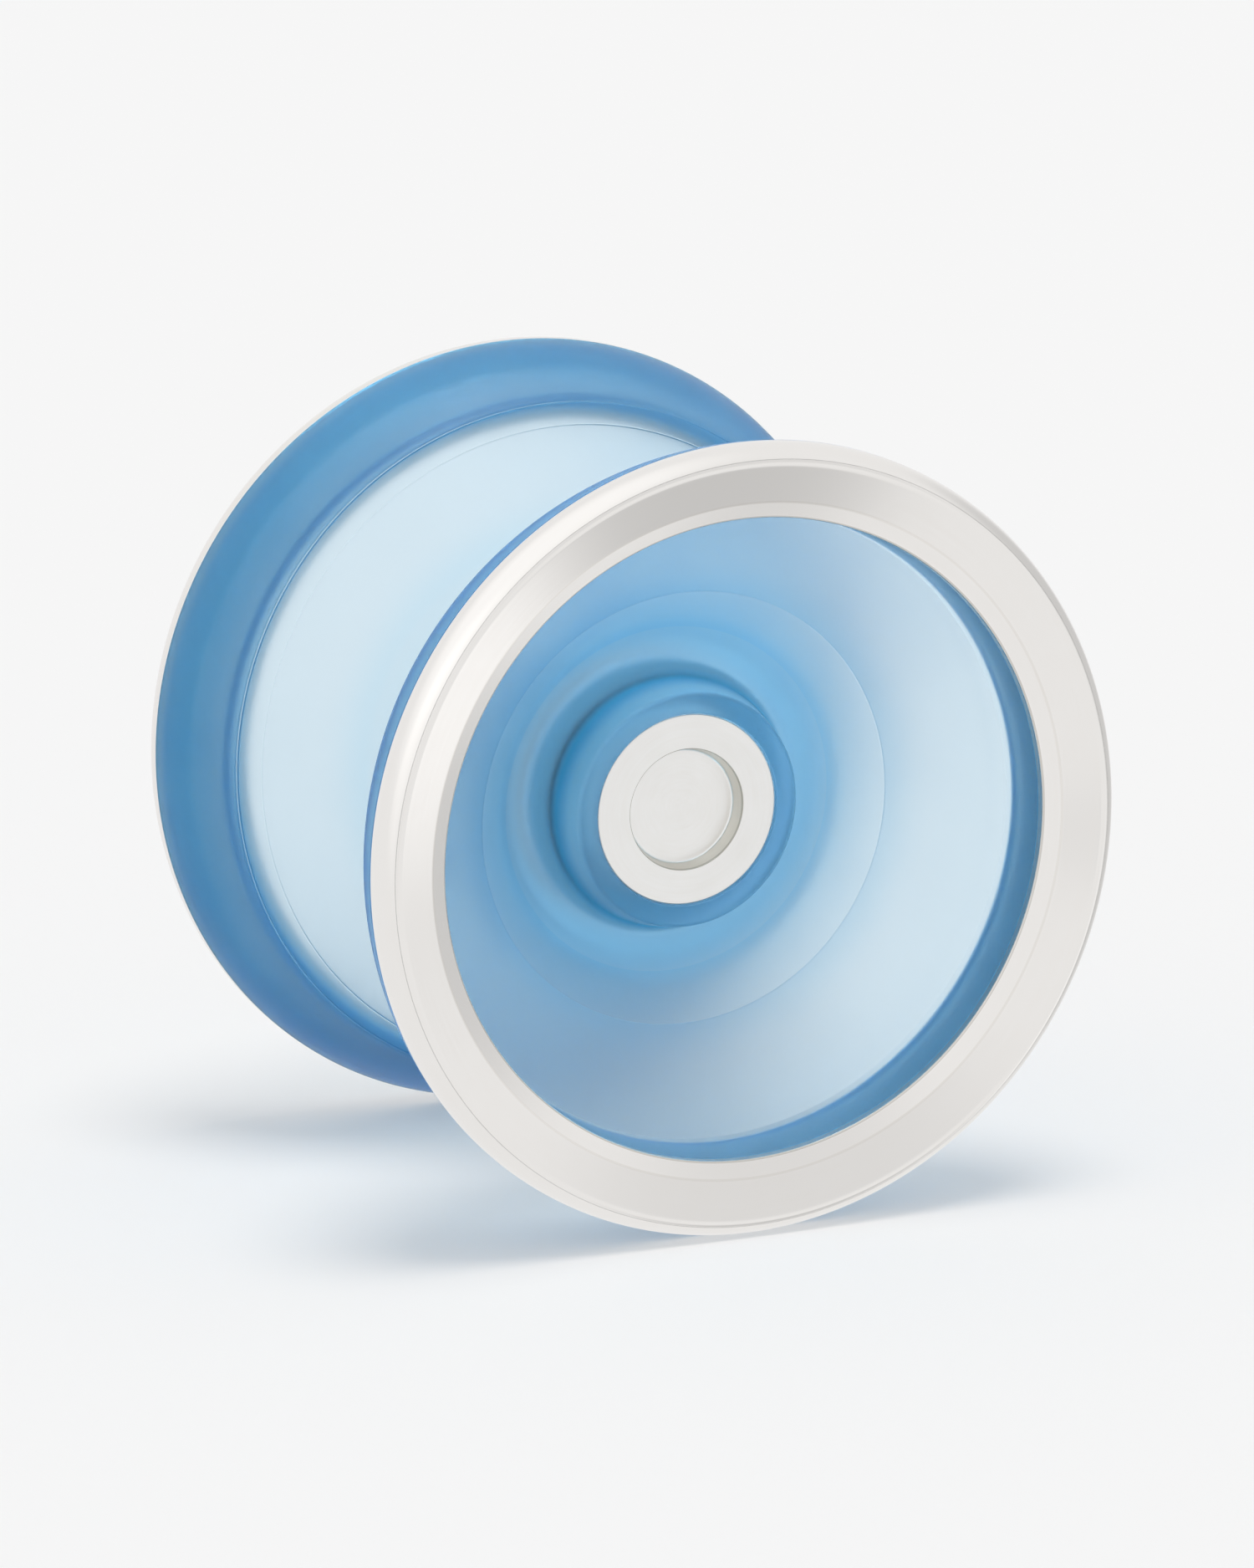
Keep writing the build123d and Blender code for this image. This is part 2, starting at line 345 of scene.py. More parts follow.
# Polycarbonate with an even frost, a slightly cloudy finish, blue that deepens with its thickness, and
# painted shade in its base colour.
def frostedPlastic():
    material, tree = newMaterial("frosted_polycarbonate")
    place = objectPlace(tree)
    cloud = noise(tree, place, plastic["cloudScale"], detail=4.0)
    grain = noise(tree, place, plastic["grainScale"], detail=2.0)
    roughness = mapRange(tree, cloud.outputs["Fac"], *plastic["cloudSpread"], *plastic["roughness"])
    bump = node(
        tree, "ShaderNodeBump", Strength=plastic["grainStrength"], Distance=plastic["grainHeight"],
        Height=grain.outputs["Fac"])
    surface = node(
        tree, "ShaderNodeBsdfPrincipled", Base_Color=bodyShadeTint(tree, place), Roughness=roughness,
        IOR=plastic["ior"], Normal=bump.outputs["Normal"])
    surface.inputs["Transmission Weight"].default_value = 1.0
    volume = node(
        tree, "ShaderNodeVolumeAbsorption", Color=plastic["absorbColour"],
        Density=plastic["absorbDensity"])
    shaderOutput(tree, surface.outputs["BSDF"], volume.outputs["Volume"])
    return material


# The direction round the spin axis, (x, z) / r, times one scale, with the height y and the distance r
# from the axis times another. Noise read from these four numbers runs in streaks along the turning.
def turningPlace(tree, place, r, across, around):
    xyz = node(tree, "ShaderNodeSeparateXYZ", Vector=place)
    parts = [
        maths(tree, "MULTIPLY", maths(tree, "DIVIDE", xyz.outputs["X"], r), around),
        maths(tree, "MULTIPLY", xyz.outputs["Y"], across),
        maths(tree, "MULTIPLY", maths(tree, "DIVIDE", xyz.outputs["Z"], r), around),
    ]
    vector = node(tree, "ShaderNodeCombineXYZ", X=parts[0], Y=parts[1], Z=parts[2])
    return vector.outputs[0], maths(tree, "MULTIPLY", r, across)


ringMetal = {
    "colour": (0.925, 0.905, 0.882, 1.0),
    "patina": (0.992, 0.989, 0.985, 1.0),
    "roughness": (0.165, 0.195),
    "grainScale": 4200.0,
    "grainHeight": 0.0000002,
    "streaks": (5200.0, 3.0),       # per metre across the turning, and round the axis
    "streakHeight": 0.0000002,
    # painted shade at the inner edge, and a painted dark reflection line on the bevel
    "paintedShadeRings": (                  # inner and outer radius, colour
        (22.6, 22.84, (0.74, 0.73, 0.71, 1.0)),
        (23.86, 24.0, (0.95, 0.942, 0.93, 1.0)),
    ),
}
hubMetal = {
    "colour": (0.935, 0.93, 0.915, 1.0),
    "patina": (0.98, 0.975, 0.965, 1.0),
    "roughness": (0.30, 0.36),
    "grainScale": 2600.0,
    "grainHeight": 0.0000008,
    "streaks": (6500.0, 1.6),
    "streakHeight": 0.0000016,
    # painted shade: the recess wall, a dark line at its rim, and a dark line round the disc's edge
    "paintedShadeRings": (
        (4.07, 4.36, (0.80, 0.775, 0.72, 1.0)),
        (4.31, 4.36, (0.72, 0.71, 0.69, 1.0)),
        (6.74, 6.9, (0.78, 0.78, 0.78, 1.0)),
    ),
}
bearingMetal = {
    "colour": (0.86, 0.855, 0.84, 1.0),
    "patina": (0.96, 0.955, 0.95, 1.0),
    "roughness": (0.14, 0.20),
    "grainScale": 6000.0,
    "grainHeight": 0.0000002,
    "streaks": (9000.0, 2.0),
    "streakHeight": 0.0000006,
    "paintedShadeRings": (),
}
ballMetal = {
    "colour": (0.90, 0.90, 0.895, 1.0),
    "patina": (0.97, 0.97, 0.97, 1.0),
    "roughness": (0.05, 0.09),
    "grainScale": 9000.0,
    "grainHeight": 0.0000001,
    "streaks": (3000.0, 2.0),
    "streakHeight": 0.00000005,
    "paintedShadeRings": (),
}
cageMetal = {
    "colour": (0.74, 0.725, 0.70, 1.0),
    "patina": (0.90, 0.89, 0.87, 1.0),
    "roughness": (0.26, 0.36),
    "grainScale": 5000.0,
    "grainHeight": 0.0000008,
    "streaks": (5000.0, 3.0),
    "streakHeight": 0.0000005,
    "paintedShadeRings": (),
}
axleMetal = {
    "colour": (0.56, 0.55, 0.535, 1.0),
    "patina": (0.84, 0.83, 0.81, 1.0),
    "roughness": (0.24, 0.36),
    "grainScale": 4000.0,
    "grainHeight": 0.000001,
    "streaks": (8000.0, 1.5),
    "streakHeight": 0.0000008,
    "paintedShadeRings": (),
}
metalFinish = {                     # what all the turned metals share
    "cloudScale": 500.0,
    "cloudShare": 0.4,
    "streakShare": 0.6,
    "spread": (0.35, 0.65),
    "ringEdge": 0.03,               # how softly a ring of painted shade starts and ends
}


# Turned and blasted metal: fine grain, streaks along the turning, a faint cloudy patina, and darker
# rings of painted shade at edges and in recesses, or of a painted dark reflection along a bevel.
def turnedMetal(name, look):
    material, tree = newMaterial(name)
    place = objectPlace(tree)
    cloud = noise(tree, place, metalFinish["cloudScale"], detail=4.0)
    grain = noise(tree, place, look["grainScale"], detail=3.0)
    r = axisDistance(tree, place)
    across, around = look["streaks"]
    vector, distance = turningPlace(tree, place, r, across, around)
    streak = node(
        tree, "ShaderNodeTexNoise", {"noise_dimensions": "4D"}, Vector=vector, W=distance, Scale=1.0,
        Detail=2.0)
    cloudPart = maths(tree, "MULTIPLY", cloud.outputs["Fac"], metalFinish["cloudShare"])
    streakPart = maths(tree, "MULTIPLY", streak.outputs["Fac"], metalFinish["streakShare"])
    spread = maths(tree, "ADD", cloudPart, streakPart)
    roughness = mapRange(tree, spread, *metalFinish["spread"], *look["roughness"])
    bump = node(
        tree, "ShaderNodeBump", Strength=1.0, Distance=look["grainHeight"], Height=grain.outputs["Fac"])
    turned = node(
        tree, "ShaderNodeBump", Strength=1.0, Distance=look["streakHeight"],
        Height=streak.outputs["Fac"], Normal=bump.outputs["Normal"])
    worn = mapRange(tree, spread, *metalFinish["spread"], 0.0, 1.0)
    shade = tinted(tree, worn, look["colour"], look["patina"])
    edge = metalFinish["ringEdge"]
    # Painted shade and painted dark reflection lines, one ring at a time.
    for inner, outer, tint in look["paintedShadeRings"]:
        paintedLine = allOf(tree, fade(tree, r, inner - edge, inner), fade(tree, r, outer + edge, outer))
        shade = tinted(tree, paintedLine, shade, tint)
    surface = node(
        tree, "ShaderNodeBsdfPrincipled", Base_Color=shade, Metallic=1.0, Roughness=roughness,
        Normal=turned.outputs["Normal"])
    shaderOutput(tree, surface.outputs["BSDF"])
    return material


padRubber = {
    "colour": (0.93, 0.96, 0.98, 1.0),
    "rubbed": (0.96, 0.97, 0.97, 1.0),
    "roughness": (0.48, 0.66),
    "cloudScale": 900.0,
    "cloudSpread": (0.35, 0.65),
    "grainScale": 9000.0,
    "grainStrength": 0.6,
    "grainHeight": 0.000004,
}


# Silicone: fine moulded grain, with cloudy patches that the string has rubbed.
def siliconeRubber():
    material, tree = newMaterial("silicone_rubber")
    place = objectPlace(tree)
    cloud = noise(tree, place, padRubber["cloudScale"], detail=4.0)
    grain = noise(tree, place, padRubber["grainScale"], detail=2.0)
    rub = mapRange(tree, cloud.outputs["Fac"], *padRubber["cloudSpread"], 0.0, 1.0)
    shade = tinted(tree, rub, padRubber["colour"], padRubber["rubbed"])
    roughness = mapRange(tree, cloud.outputs["Fac"], *padRubber["cloudSpread"], *padRubber["roughness"])
    bump = node(
        tree, "ShaderNodeBump", Strength=padRubber["grainStrength"], Distance=padRubber["grainHeight"],
        Height=grain.outputs["Fac"])
    surface = node(
        tree, "ShaderNodeBsdfPrincipled", Base_Color=shade, Roughness=roughness,
        Normal=bump.outputs["Normal"])
    shaderOutput(tree, surface.outputs["BSDF"])
    return material


# What the shapes below take from the CAD pieces, in millimetres.
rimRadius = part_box("front_rim_ring")[1].x / mm
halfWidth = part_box("rear_rim_ring")[1].y / mm
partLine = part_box("rear_body")[1].y / mm
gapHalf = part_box("rear_body")[0].y / mm
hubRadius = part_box("rear_hub")[1].x / mm
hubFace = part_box("rear_hub")[1].y / mm
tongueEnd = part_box("rear_rim_ring")[0].y / mm

# The moulded body. A place is a radius and a height from the middle plane, and a rounding may follow.
bodyShape = {
    "segments": 240,
    "runSteps": 4,                      # points along each straight run
    "edge": 0.05,                       # rounding of the plain edges
    "flankStart": (24.91, 12.14),
    "flankRise": 0.45,                  # how far the flank's arc bulges from its chord
    "flankSteps": 33,
    "flankFoot": ((24.75, 12.02), 0.0),
    "coneEnd": ((23.34, 10.92), 0.3),
    "gapFlat": (11.2, 1.5),             # outer radius of the flat face by the string, rounding
    "padGroove": (7.15, 9.5, 1.2),      # inner and outer radius, depth
    "pocket": (6.6, 0.35),              # outer radius, depth
    "bossHole": 4.42,
    "postSeat": 4.2,
    "postRadius": 8.4,
    "postHeight": 10.25,
    "postRound": 0.35,
    "floorInner": ((9.1, 6.75), 1.15),
    "floorOuter": ((12.35, 6.5), 2.6),
    "cupStep": ((15.47, 9.77), 0.5),
    "cupEdge": ((22.43, 14.96), 0.12),
    "sleeveTop": 22.7,
    "tongueSlot": (23.08, 24.12, 0.1),  # inner and outer radius, clearance at its end
    "fit": 0.02,                        # air left between the plastic and what it bears on
    "hubGap": 0.05,
    "beads": {                          # how wide and how high each bead is
        "flankFoot": (0.09, 0.045),
        "coneEnd": (0.08, 0.035),
        "cupStep": (0.09, 0.022),
    },
    "beadRounds": [0.03, 0.04, 0.03],
}


# Fine turned lines: a bead's two feet lie its width before and after a corner, on the corner's sides,
# and its top stands out by its height, square to the line from one side to the other.
def beaded(places, radii):
    places, radii = list(places), list(radii)
    for corner, (width, height) in bodyShape["beads"].items():
        at = places.index(bodyShape[corner][0])
        here = np.array(places[at], float)
        before = np.array(places[at - 1], float) - here
        after = np.array(places[at + 1], float) - here
        before /= np.linalg.norm(before)
        after /= np.linalg.norm(after)
        along = after - before
        outwards = np.array([-along[1], along[0]]) / np.linalg.norm(along)
        trio = [here + width * before, here + height * outwards, here + width * after]
        places[at:at + 1] = [tuple(point) for point in trio]
        radii[at:at + 1] = bodyShape["beadRounds"]
    return places, radii


# An arc from one point to another that bulges by a rise from the chord between them. Its radius is
# (the chord squared / 4 + the rise squared) / (2 * the rise).
def archBetween(first, last, rise, steps):
    chord = first - last
    length = np.hypot(*chord)
    radius = (length ** 2 / 4 + rise ** 2) / (2 * rise)
    outwards = np.array([chord[1], -chord[0]]) / length
    centre = (first + last) / 2 - outwards * (radius - rise)
    start, end = (np.degrees(np.arctan2(*(point - centre)[::-1])) for point in (first, last))
    return arcPoints(centre, radius, start, end, steps)


# The shell's outline runs from the flank across the string's side, through the hub's hole, over the
# post and the cup's floor, and round the groove for the ring's tongue to the rim. The arc of the flank
# closes it. Its seats stand off by the fit, and its hole is the hub's radius + the gap.
def bodyOutline():
    b = bodyShape
    edge = b["edge"]
    padInner, padOuter, padDepth = b["padGroove"]
    pocket, pocketDepth = b["pocket"]
    slotInner, slotOuter, slotClear = b["tongueSlot"]
    hubHole = hubRadius + b["hubGap"]
    padFloor = gapHalf + padDepth + b["fit"]
    pocketFloor = gapHalf + pocketDepth
    gapFlat, gapRound = b["gapFlat"]
    postSeat = b["postSeat"] - b["fit"]
    top = partLine - b["fit"]  # just under the ring's head, so that the two faces never coincide
    slotEnd = tongueEnd - slotClear
    corners = [
        (b["flankStart"], 0), b["flankFoot"], b["coneEnd"], ((gapFlat, gapHalf), gapRound),
        ((padOuter, gapHalf), edge), ((padOuter, padFloor), edge),
        ((padInner, padFloor), edge), ((padInner, gapHalf), edge),
        ((pocket, gapHalf), edge), ((pocket, pocketFloor), edge),
        ((b["bossHole"], pocketFloor), edge), ((b["bossHole"], postSeat), edge),
        ((hubHole, postSeat), edge), ((hubHole, b["postHeight"]), edge),
        ((b["postRadius"], b["postHeight"]), b["postRound"]), b["floorInner"], b["floorOuter"],
        b["cupStep"], b["cupEdge"], ((b["sleeveTop"], top), edge),
        ((slotInner, top), edge), ((slotInner, slotEnd), edge),
        ((slotOuter, slotEnd), edge), ((slotOuter, top), edge), ((rimRadius, top), 0),
    ]
    places, radii = beaded(*splitCorners(corners))
    inside = roundedOutline(places, radii[1:-1], runSteps=b["runSteps"])
    lowEnd, highEnd = np.array(b["flankStart"]), np.array([rimRadius, top])
    flank = archBetween(highEnd, lowEnd, b["flankRise"], b["flankSteps"])
    return np.vstack([inside, flank[1:-1]])


# The metal rim ring. Its land is the narrow flat between the shoulder and the sloping face.
ringShape = {
    "segments": 360,
    "innerRadius": 22.7,
    "landOuter": 26.95,
    "landInner": 26.65,
    "crest": (0.5, 1.0),          # rounding of the land's outer and inner corners
    "faceInner": 23.95,
    "faceDrop": 0.9,              # how far the sloping face falls from the land to its inner edge
    "bevelRound": 1.6,
    "wallTop": 20.05,             # height where the bevel meets the inner wall
    "wallRound": 0.2,
    "shoulder": 2.0,
    "shoulderSteps": 31,
    "backEdge": 0.05,
    "tongue": (23.1, 24.1),       # inner and outer radius
    "tongueRoot": 0.03,
    "tongueTip": 0.2,
}


# The ring's shoulder is an arc from the rim that turns by the angle whose cosine is (the land's outer
# radius - the arc's centre) / the arc's radius. It ends short of the land by the tangent of the crest's
# rounding, which is that rounding * tan((90 degrees - the angle) / 2).
def ringOutline():
    s = ringShape
    centre = rimRadius - s["shoulder"]
    end = np.degrees(np.arccos((s["landOuter"] - centre) / s["shoulder"]))
    wallTop = halfWidth - s["shoulder"] * np.sin(np.radians(end))
    outerCrest, innerCrest = s["crest"]
    trim = outerCrest * np.tan(np.radians(90 - end) / 2) / s["shoulder"]
    turn = end - np.degrees(trim)
    shoulder = arcPoints((centre, wallTop), s["shoulder"], 0, turn, s["shoulderSteps"])
    inner, backEdge = s["innerRadius"], s["backEdge"]
    tongueInner, tongueOuter = s["tongue"]
    root, tip = s["tongueRoot"], s["tongueTip"]
    corners = [
        (tuple(shoulder[-1]), 0),
        ((s["landOuter"], halfWidth), outerCrest), ((s["landInner"], halfWidth), innerCrest),
        ((s["faceInner"], halfWidth - s["faceDrop"]), s["bevelRound"]),
        ((inner, s["wallTop"]), s["wallRound"]), ((inner, partLine), backEdge),
        ((tongueInner, partLine), root), ((tongueInner, tongueEnd), tip),
        ((tongueOuter, tongueEnd), tip), ((tongueOuter, partLine), root),
        ((rimRadius, partLine), backEdge), ((rimRadius, wallTop), 0),
    ]
    places, radii = splitCorners(corners)
    return np.vstack([roundedOutline(places, radii[1:-1]), shoulder[1:-1]])


# The hub: a turned flange with a shallow recess in its face, a boss behind it, and a stub that carries
# the bearing.
hubShape = {
    "segments": 240,
    "recessRadius": 4.33,
    "recessFoot": 4.05,         # the recess narrows to this radius at its floor
    "recessDepth": 1.15,
    "boss": 4.4,
    "seat": 3.165,              # radius of the stub inside the bearing, which ends at the next height
    "seatEnd": 0.4,
    "bearingHalf": 2.38,
    "threadBore": 2.0,
    "boreEnd": 7.0,
    "drillSlope": 31,           # degrees from flat of the drilled end
    "flangeSeat": 4.2,
    "edge": 0.05,
    "seatLip": 0.15,
    "flangeRound": 0.2,
    "faceEdge": 0.12,
    "recessEdge": 0.06,
    "recessRound": 0.16,
}


# The hub's outline runs from the point of the drilled hole, past the bearing's seat and the flange, to
# the middle of the recess. The point lies the bore's radius * tan(the drill's slope) beyond the bore.
def hubOutline():
    h = hubShape
    floor = hubFace - h["recessDepth"]
    drill = h["threadBore"] * np.tan(np.radians(h["drillSlope"]))
    edge = h["edge"]
    corners = [
        ((0, h["boreEnd"] + drill), 0),
        ((h["threadBore"], h["boreEnd"]), edge), ((h["threadBore"], h["seatEnd"]), edge),
        ((h["seat"], h["seatEnd"]), h["seatLip"]), ((h["seat"], h["bearingHalf"]), edge),
        ((h["boss"], h["bearingHalf"]), edge), ((h["boss"], h["flangeSeat"]), edge),
        ((hubRadius, h["flangeSeat"]), h["flangeRound"]), ((hubRadius, hubFace), h["faceEdge"]),
        ((h["recessRadius"], hubFace), h["recessEdge"]), ((h["recessFoot"], floor), h["recessRound"]),
        ((0, floor), 0),
    ]
    places, radii = splitCorners(corners)
    return roundedOutline(places, radii[1:-1])


padShape = {
    "segments": 240,
    "inner": 7.17,
    "outer": 9.48,
    "depth": 1.2,
    "lip": 0.14,
    "crown": 0.03,
    "crownRound": 3.0,
    "backEdge": 0.05,
}


# The pad's section is a rectangle whose string side bulges by the crown at its middle.
def padOutline():
    p = padShape
    low, high = gapHalf, gapHalf + p["depth"]
    middle = (p["inner"] + p["outer"]) / 2
    return closedOutline([
        ((p["outer"], low + p["crown"]), p["lip"]), ((p["outer"], high), p["backEdge"]),
        ((p["inner"], high), p["backEdge"]), ((p["inner"], low + p["crown"]), p["lip"]),
        ((middle, low), p["crownRound"])])


bearingShape = {
    "segments": 180,
    "bore": 3.175,
    "outside": 6.35,
    "half": 2.38,
    "innerLand": 4.30,
    "outerLand": 5.35,
    "pitchRadius": 4.7625,
    "track": 0.82,
    "trackSide": 0.7,                 # height where the land's outline starts, beyond the track
    "trackSteps": 15,
    "counterbore": (5.70, 1.63),      # radius, height of its step
    "snapGroove": (5.86, 1.88, 2.12),  # radius, lower and upper height
    "edge": 0.14,
    "mouthEdge": 0.08,
    "stepEdge": 0.03,
    "grooveEdge": 0.02,
    "shield": (4.42, 5.69, 0.22),     # inner radius, outer radius, thickness
    "shieldEdge": 0.04,
    "shieldLip": 0.08,
}


# The ball track is an arc about the ball's centre between the two points where it meets the land, at
# the angle whose cosine is the land's distance from the pitch radius / the track's radius.
def trackArc(land, outwards):
    b = bearingShape
    reach = np.degrees(np.arccos(abs(land - b["pitchRadius"]) / b["track"]))
    start, end = (180 + reach, 180 - reach) if not outwards else (-reach, reach)
    return arcPoints((b["pitchRadius"], 0.0), b["track"], start, end, b["trackSteps"])


# Each race's outline has a lower half that mirrors the upper one, (radius, -height), and the ball
# track's arc joins the two.
def innerRaceOutline():
    b = bearingShape
    bore, land, half = b["bore"], b["innerLand"], b["half"]
    places = [(land, b["trackSide"]), (land, half), (bore, half), (bore, 0.0)]
    high = roundedOutline(places, [b["edge"], b["edge"]])
    low = high[::-1] * (1.0, -1.0)
    return np.vstack([low, trackArc(land, False), high[:-1]])


def outerRaceOutline():
    b = bearingShape
    counterbore, step = b["counterbore"]
    groove, grooveLow, grooveHigh = b["snapGroove"]
    stepEdge, grooveEdge = b["stepEdge"], b["grooveEdge"]
    corners = [
        ((b["outerLand"], b["trackSide"]), 0), ((b["outerLand"], step), stepEdge),
        ((counterbore, step), stepEdge), ((counterbore, grooveLow), grooveEdge),
        ((groove, grooveLow), stepEdge), ((groove, grooveHigh), stepEdge),
        ((counterbore, grooveHigh), grooveEdge), ((counterbore, b["half"]), b["mouthEdge"]),
        ((b["outside"], b["half"]), b["edge"]), ((b["outside"], 0.0), 0),
    ]
    places, radii = splitCorners(corners)
    high = roundedOutline(places, radii[1:-1])
    low = high[::-1] * (1.0, -1.0)
    return np.vstack([high, low[1:], trackArc(b["outerLand"], True)])


# The shield is a flat ring that lies on the step of the counterbore.
def shieldOutline():
    b = bearingShape
    inner, outer, thickness = b["shield"]
    low = b["counterbore"][1]
    high = low + thickness
    edge = b["shieldEdge"]
    return closedOutline([
        ((inner, low), edge), ((outer, low), edge), ((outer, high), edge),
        ((inner, high), b["shieldLip"])])


axleShape = {
    "columns": 96,
    "rowsPerTurn": 20,
    "radius": 1.99,
    "pitch": 0.7,
    "depth": 0.43,
    "ramp": (0.10, 0.45, 0.60, 0.95),  # where one ridge's flanks and crest lie, as shares of the pitch
    "half": 6.65,
    "chamfer": 0.35,
    "socket": 2.0,
    "socketDepth": 1.6,
    "socketPoint": 0.45,               # how far the drilled point lies below the socket's floor
}


# The axle: its radius rises from the thread's root by a ridge that moves along by one pitch for each
# turn, and is cut down by a chamfer of 45 degrees at both ends. A hexagon, whose radius is half its
# width / cos(the angle from the middle of its flat), sinks into the rear end.
def axleMesh():
    a = axleShape
    angle = 2 * np.pi * np.arange(a["columns"]) / a["columns"]
    rows = int(2 * a["half"] / a["pitch"] * a["rowsPerTurn"])
    height = np.linspace(-a["half"], a["half"], rows)[:, None]
    turn = (height / a["pitch"] - angle / (2 * np.pi)) % 1.0
    ridge = np.interp(turn, (0.0,) + a["ramp"] + (1.0,), (0.0, 0.0, 1.0, 1.0, 0.0, 0.0))
    root = a["radius"] - a["depth"]
    chamfer = a["radius"] - a["chamfer"] + (a["half"] - np.abs(height))
    radius = np.minimum(root + a["depth"] * ridge, chamfer)
    flat = np.pi / 3  # the angle that one side of the hexagon spans
    hexagon = a["socket"] / 2 / np.cos((angle + flat / 2) % flat - flat / 2)
    bottom = a["half"] - a["socketDepth"]
    ones = np.ones(a["columns"])
    radius = np.vstack([0 * ones, radius, hexagon, hexagon, 0 * ones])
    height = np.vstack([-a["half"] * ones, height + 0 * angle, a["half"] * ones, bottom * ones,
                        (bottom - a["socketPoint"]) * ones])
    x, z = radius * np.cos(angle), radius * np.sin(angle)
    return wrappedMesh("axle_screw", x * mm, height * mm, z * mm, False)


bodyPlastic = frostedPlastic()
ringSteel = turnedMetal("satin_ring_steel", ringMetal)
hubAluminium = turnedMetal("satin_hub_aluminium", hubMetal)
bearingSteel = turnedMetal("ground_bearing_steel", bearingMetal)
ballSteel = turnedMetal("polished_ball_steel", ballMetal)
cageSteel = turnedMetal("pressed_cage_steel", cageMetal)
axleSteel = turnedMetal("plated_axle_steel", axleMetal)
silicone = siliconeRubber()
print("materials made")

for half, side in sides.items():
    shell = turnedMesh(half + "_shell", bodyOutline(), side, bodyShape["segments"])
    ring = turnedMesh(half + "_ring", ringOutline(), side, ringShape["segments"])
    hub = turnedMesh(half + "_hub_disc", hubOutline(), side, hubShape["segments"], False)
    pad = turnedMesh(half + "_pad", padOutline(), side, padShape["segments"])
    shield = turnedMesh(half + "_shield_disc", shieldOutline(), side, bearingShape["segments"])
    addPiece(half + "_shell", shell, bodyPlastic, "halves", half + "_body")
    addPiece(half + "_ring", ring, ringSteel, "halves", half + "_rim_ring")
    addPiece(half + "_hub_disc", hub, hubAluminium, "halves", half + "_hub")
    addPiece(half + "_pad", pad, silicone, "halves", half + "_response_pad")
    addPiece(half + "_shield_disc", shield, bearingSteel, "string_spool", half + "_bearing_shield")
print("halves made")

innerRace = turnedMesh("inner_race_ring", innerRaceOutline(), 1.0, bearingShape["segments"])
outerRace = turnedMesh("outer_race_ring", outerRaceOutline(), 1.0, bearingShape["segments"])
addPiece("inner_race_ring", innerRace, bearingSteel, "halves", "bearing_inner_race")
addPiece("outer_race_ring", outerRace, bearingSteel, "string_spool", "bearing_outer_race")
addPiece("axle_screw", axleMesh(), axleSteel, "halves", "axle")

# The CAD's own meshes of these four stay, and only their materials change.
keptMeshes = {
    "bearing_balls": ballSteel,
    "bearing_cage": cageSteel,
    "front_snap_ring": bearingSteel,
    "rear_snap_ring": bearingSteel,
}
for name, material in keptMeshes.items():
    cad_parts[name].data.materials.clear()
    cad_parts[name].data.materials.append(material)
print("bearing and axle made")


# Seen by the camera, the paper's tint and the white on it leave lit paper neutral, with shadows a
# little blue.
stage = {
    "floorRadius": 30.0,            # in metres
    "floorSides": 64,
    "floorColour": (0.88, 0.88, 0.88, 1.0),
    "seenTint": (1.077, 1.003, 0.929, 1.0),
    "whiteColour": (0.87, 0.995, 1.12, 1.0),
    "whiteShare": 0.36,
    "whiteStrength": 0.95,
    "openToGloss": 1.0,             # how much of the room below shows in reflections
    "openToGlass": 0.22,            # and to rays that have passed through the plastic
}


# Paper that the camera sees a little whiter than it is. Reflections look through it into the room
# below, and rays that have passed through the plastic see about a fifth of that room.
def seamlessPaper():
    material, tree = newMaterial("seamless_paper")
    path = tree.nodes.new("ShaderNodeLightPath")
    colour = tinted(tree, path.outputs["Is Camera Ray"], stage["floorColour"], stage["seenTint"])
    paper = node(tree, "ShaderNodeBsdfDiffuse", Color=colour)
    white = node(
        tree, "ShaderNodeEmission", Color=stage["whiteColour"], Strength=stage["whiteStrength"])
    clear = tree.nodes.new("ShaderNodeBsdfTransparent")
    share = maths(tree, "MULTIPLY", path.outputs["Is Camera Ray"], stage["whiteShare"])
    seen = node(tree, "ShaderNodeMixShader", i0=share, i1=paper.outputs[0], i2=white.outputs[0])
    gloss = maths(tree, "MULTIPLY", path.outputs["Is Glossy Ray"], stage["openToGloss"])
    closing = stage["openToGloss"] - stage["openToGlass"]
    less = maths(tree, "MULTIPLY", path.outputs["Is Transmission Ray"], closing)
    through = maths(tree, "SUBTRACT", gloss, less)
    mix = node(tree, "ShaderNodeMixShader", i0=through, i1=seen.outputs[0], i2=clear.outputs[0])
    shaderOutput(tree, mix.outputs[0])
    return material


# The floor is a flat regular polygon under the lowest point of the CAD pieces.
def makeFloor():
    low, count = cadBox[0][2], stage["floorSides"]
    angle = 2 * np.pi * np.arange(count) / count
    ring = stage["floorRadius"] * np.stack([np.cos(angle), np.sin(angle)], -1)
    points = np.column_stack([ring, np.full(count, low)])
    mesh = bpy.data.meshes.new("floor")
    mesh.from_pydata(points.tolist(), [], [list(range(count))])
    floor = bpy.data.objects.new("floor", mesh)
    bpy.context.scene.collection.objects.link(floor)
    mesh.materials.append(seamlessPaper())


